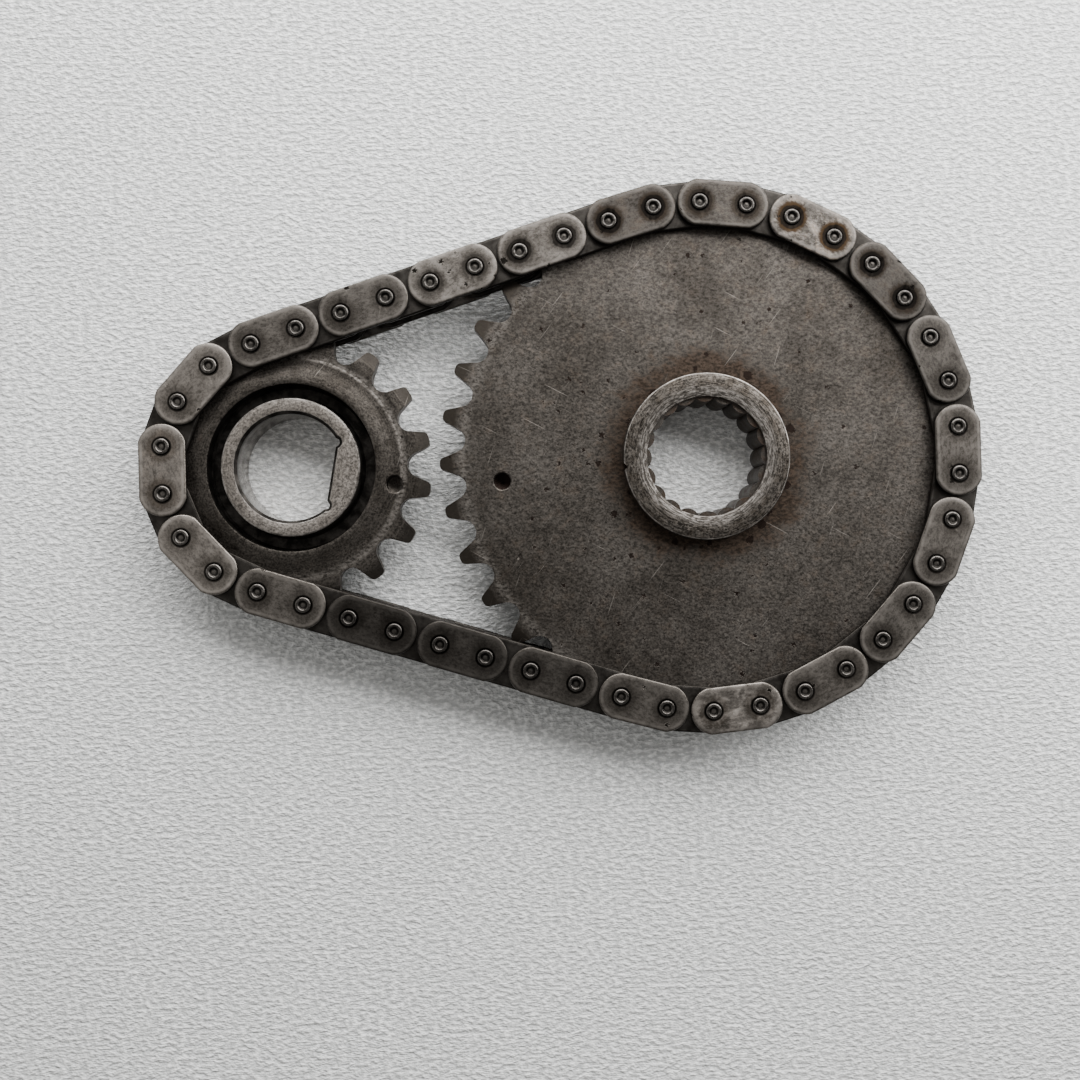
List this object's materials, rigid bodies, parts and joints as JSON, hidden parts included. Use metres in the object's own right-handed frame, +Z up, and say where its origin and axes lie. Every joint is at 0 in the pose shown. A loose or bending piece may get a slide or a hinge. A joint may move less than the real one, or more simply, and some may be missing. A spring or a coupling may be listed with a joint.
{
  "type": "roller chain drive",
  "caption": "Endless riveted chain of 3/8 inch pitch on a large splined sprocket and a small D-bore sprocket, for a timing or primary drive.",
  "frame": {"origin": "on the axis of the large sprocket, in the plane of the flat lower faces of both hubs", "axes": "+X from the small sprocket's axis to the large one's, +Z up along both axes, +Y to the left of +X seen from above"},
  "size_m": [0.1706, 0.1128, 0.0117],
  "materials": {
    "outer_plates": "oiled, worn grey-brown steel with lighter rubbed edges",
    "inner_plates": "dark oiled steel",
    "large_plate": "dark mottled, finely pitted steel with rust tint",
    "hub_ring": "speckled bare steel, polished rim",
    "small_sprocket": "satin grey steel, nearly black groove"
  },
  "bodies": {
    "large_sprocket": {"large_sprocket_plate": "large_plate", "large_sprocket_hub": "hub_ring", "outer_link_05": "outer_plates", "inner_link_05": "inner_plates", "outer_link_06": "outer_plates", "inner_link_06": "inner_plates", "outer_link_07": "outer_plates", "inner_link_07": "inner_plates", "outer_link_08": "outer_plates", "inner_link_08": "inner_plates", "outer_link_09": "outer_plates", "inner_link_09": "inner_plates", "outer_link_10": "outer_plates", "inner_link_10": "inner_plates", "outer_link_11": "outer_plates", "inner_link_11": "inner_plates", "outer_link_12": "outer_plates", "inner_link_12": "inner_plates", "outer_link_13": "outer_plates", "inner_link_13": "inner_plates", "outer_link_14": "outer_plates", "inner_link_14": "inner_plates", "outer_link_15": "outer_plates"},
    "small_sprocket": {"small_sprocket": "small_sprocket", "inner_link_19": "inner_plates", "outer_link_20": "outer_plates", "inner_link_20": "inner_plates", "outer_link_21": "outer_plates", "inner_link_21": "inner_plates", "outer_link_22": "outer_plates", "inner_link_22": "inner_plates"},
    "inner_link_04": {"inner_link_04": "inner_plates"},
    "outer_link_04": {"outer_link_04": "outer_plates"},
    "inner_link_03": {"inner_link_03": "inner_plates"},
    "outer_link_03": {"outer_link_03": "outer_plates"},
    "inner_link_02": {"inner_link_02": "inner_plates"},
    "outer_link_02": {"outer_link_02": "outer_plates"},
    "inner_link_01": {"inner_link_01": "inner_plates"},
    "outer_link_01": {"outer_link_01": "outer_plates"},
    "inner_link_15": {"inner_link_15": "inner_plates"},
    "outer_link_16": {"outer_link_16": "outer_plates"},
    "inner_link_16": {"inner_link_16": "inner_plates"},
    "outer_link_17": {"outer_link_17": "outer_plates"},
    "inner_link_17": {"inner_link_17": "inner_plates"},
    "outer_link_18": {"outer_link_18": "outer_plates"},
    "inner_link_18": {"inner_link_18": "inner_plates"},
    "outer_link_19": {"outer_link_19": "outer_plates"}
  },
  "joints": [
    {"name": "upper_strand_swing", "type": "hinge", "parent": "large_sprocket", "child": "inner_link_04", "pos_m": [-0.01865, 0.04813, 0.007], "axis": [0, 0, 1], "range_deg": [-1.8, 1.8]},
    {"name": "upper_bend_1", "type": "hinge", "parent": "inner_link_04", "child": "outer_link_04", "pos_m": [-0.02772, 0.04523, 0.007], "axis": [0, 0, 1], "range_deg": [-4, 4]},
    {"name": "upper_bend_2", "type": "hinge", "parent": "outer_link_04", "child": "inner_link_03", "pos_m": [-0.03679, 0.04233, 0.007], "axis": [0, 0, 1], "range_deg": [-1.62, 1.62]},
    {"name": "upper_bend_3", "type": "hinge", "parent": "inner_link_03", "child": "outer_link_03", "pos_m": [-0.04586, 0.03943, 0.007], "axis": [0, 0, 1], "range_deg": [-1.62, 1.62]},
    {"name": "upper_bend_4", "type": "hinge", "parent": "outer_link_03", "child": "inner_link_02", "pos_m": [-0.05494, 0.03653, 0.007], "axis": [0, 0, 1], "range_deg": [-1.62, 1.62]},
    {"name": "upper_bend_5", "type": "hinge", "parent": "inner_link_02", "child": "outer_link_02", "pos_m": [-0.06401, 0.03363, 0.007], "axis": [0, 0, 1], "range_deg": [-1.62, 1.62]},
    {"name": "upper_bend_6", "type": "hinge", "parent": "outer_link_02", "child": "inner_link_01", "pos_m": [-0.07308, 0.03073, 0.007], "axis": [0, 0, 1], "range_deg": [-1.62, 1.62]},
    {"name": "upper_bend_7", "type": "hinge", "parent": "inner_link_01", "child": "outer_link_01", "pos_m": [-0.08216, 0.02783, 0.007], "axis": [0, 0, 1], "range_deg": [-4.02, 4.02]},
    {"name": "small_sprocket_turn", "type": "hinge", "parent": "outer_link_01", "child": "small_sprocket", "pos_m": [-0.09123, 0.02493, 0.007], "axis": [0, 0, 1], "range_deg": [-3.5, 3.5]},
    {"name": "lower_strand_swing", "type": "hinge", "parent": "large_sprocket", "child": "inner_link_15", "pos_m": [-0.01865, -0.04813, 0.007], "axis": [0, 0, 1], "range_deg": [-1.82, 1.82]},
    {"name": "lower_bend_1", "type": "hinge", "parent": "inner_link_15", "child": "outer_link_16", "pos_m": [-0.02772, -0.04523, 0.007], "axis": [0, 0, 1], "range_deg": [-4, 4]},
    {"name": "lower_bend_2", "type": "hinge", "parent": "outer_link_16", "child": "inner_link_16", "pos_m": [-0.03679, -0.04233, 0.007], "axis": [0, 0, 1], "range_deg": [-1.62, 1.62]},
    {"name": "lower_bend_3", "type": "hinge", "parent": "inner_link_16", "child": "outer_link_17", "pos_m": [-0.04586, -0.03943, 0.007], "axis": [0, 0, 1], "range_deg": [-1.62, 1.62]},
    {"name": "lower_bend_4", "type": "hinge", "parent": "outer_link_17", "child": "inner_link_17", "pos_m": [-0.05494, -0.03653, 0.007], "axis": [0, 0, 1], "range_deg": [-1.62, 1.62]},
    {"name": "lower_bend_5", "type": "hinge", "parent": "inner_link_17", "child": "outer_link_18", "pos_m": [-0.06401, -0.03363, 0.007], "axis": [0, 0, 1], "range_deg": [-1.62, 1.62]},
    {"name": "lower_bend_6", "type": "hinge", "parent": "outer_link_18", "child": "inner_link_18", "pos_m": [-0.07308, -0.03073, 0.007], "axis": [0, 0, 1], "range_deg": [-1.62, 1.62]},
    {"name": "lower_bend_7", "type": "hinge", "parent": "inner_link_18", "child": "outer_link_19", "pos_m": [-0.08216, -0.02783, 0.007], "axis": [0, 0, 1], "range_deg": [-4.02, 4.02]}
  ],
  "couplings": [
    {"joint": "upper_bend_2", "follows": "upper_bend_1", "ratio": -0.4},
    {"joint": "upper_bend_3", "follows": "upper_bend_1", "ratio": -0.4},
    {"joint": "upper_bend_4", "follows": "upper_bend_1", "ratio": -0.4},
    {"joint": "upper_bend_5", "follows": "upper_bend_1", "ratio": -0.4},
    {"joint": "upper_bend_6", "follows": "upper_bend_1", "ratio": -0.4},
    {"joint": "upper_bend_7", "follows": "upper_bend_1", "ratio": 1},
    {"joint": "small_sprocket_turn", "follows": "upper_strand_swing", "ratio": -1.93},
    {"joint": "lower_strand_swing", "follows": "upper_strand_swing", "ratio": 1},
    {"joint": "lower_bend_2", "follows": "lower_bend_1", "ratio": -0.4},
    {"joint": "lower_bend_3", "follows": "lower_bend_1", "ratio": -0.4},
    {"joint": "lower_bend_4", "follows": "lower_bend_1", "ratio": -0.4},
    {"joint": "lower_bend_5", "follows": "lower_bend_1", "ratio": -0.4},
    {"joint": "lower_bend_6", "follows": "lower_bend_1", "ratio": -0.4},
    {"joint": "lower_bend_7", "follows": "lower_bend_1", "ratio": 1}
  ]
}
